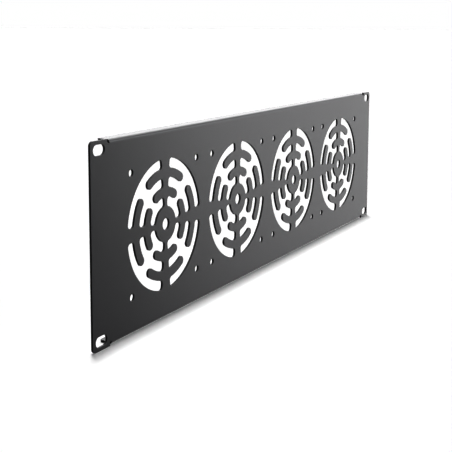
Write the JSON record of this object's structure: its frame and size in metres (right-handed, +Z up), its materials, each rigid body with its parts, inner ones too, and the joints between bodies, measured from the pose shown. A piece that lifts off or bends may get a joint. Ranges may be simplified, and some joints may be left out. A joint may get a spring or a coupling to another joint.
{
  "type": "rack fan panel",
  "caption": "Black sheet-metal rack panel with finger guards cut into its face, fan screw holes, slotted rack ears, and flanges folded back along the top and bottom.",
  "frame": {"origin": "middle of the rack slot pattern, on the back of the sheet, which is the plane that meets the rack rails", "axes": "+X along the panel to the right as seen from the front, +Y from the front to the back, +Z up"},
  "size_m": [0.4826, 0.01, 0.1324],
  "materials": {
    "powder_coat": "fine-textured satin black powder coat"
  },
  "bodies": {
    "root": {"face_panel": "powder_coat", "finger_guard_1": "powder_coat", "finger_guard_2": "powder_coat", "finger_guard_3": "powder_coat", "finger_guard_4": "powder_coat", "left_rack_ear": "powder_coat", "right_rack_ear": "powder_coat", "top_flange": "powder_coat", "bottom_flange": "powder_coat"}
  },
  "joints": []
}
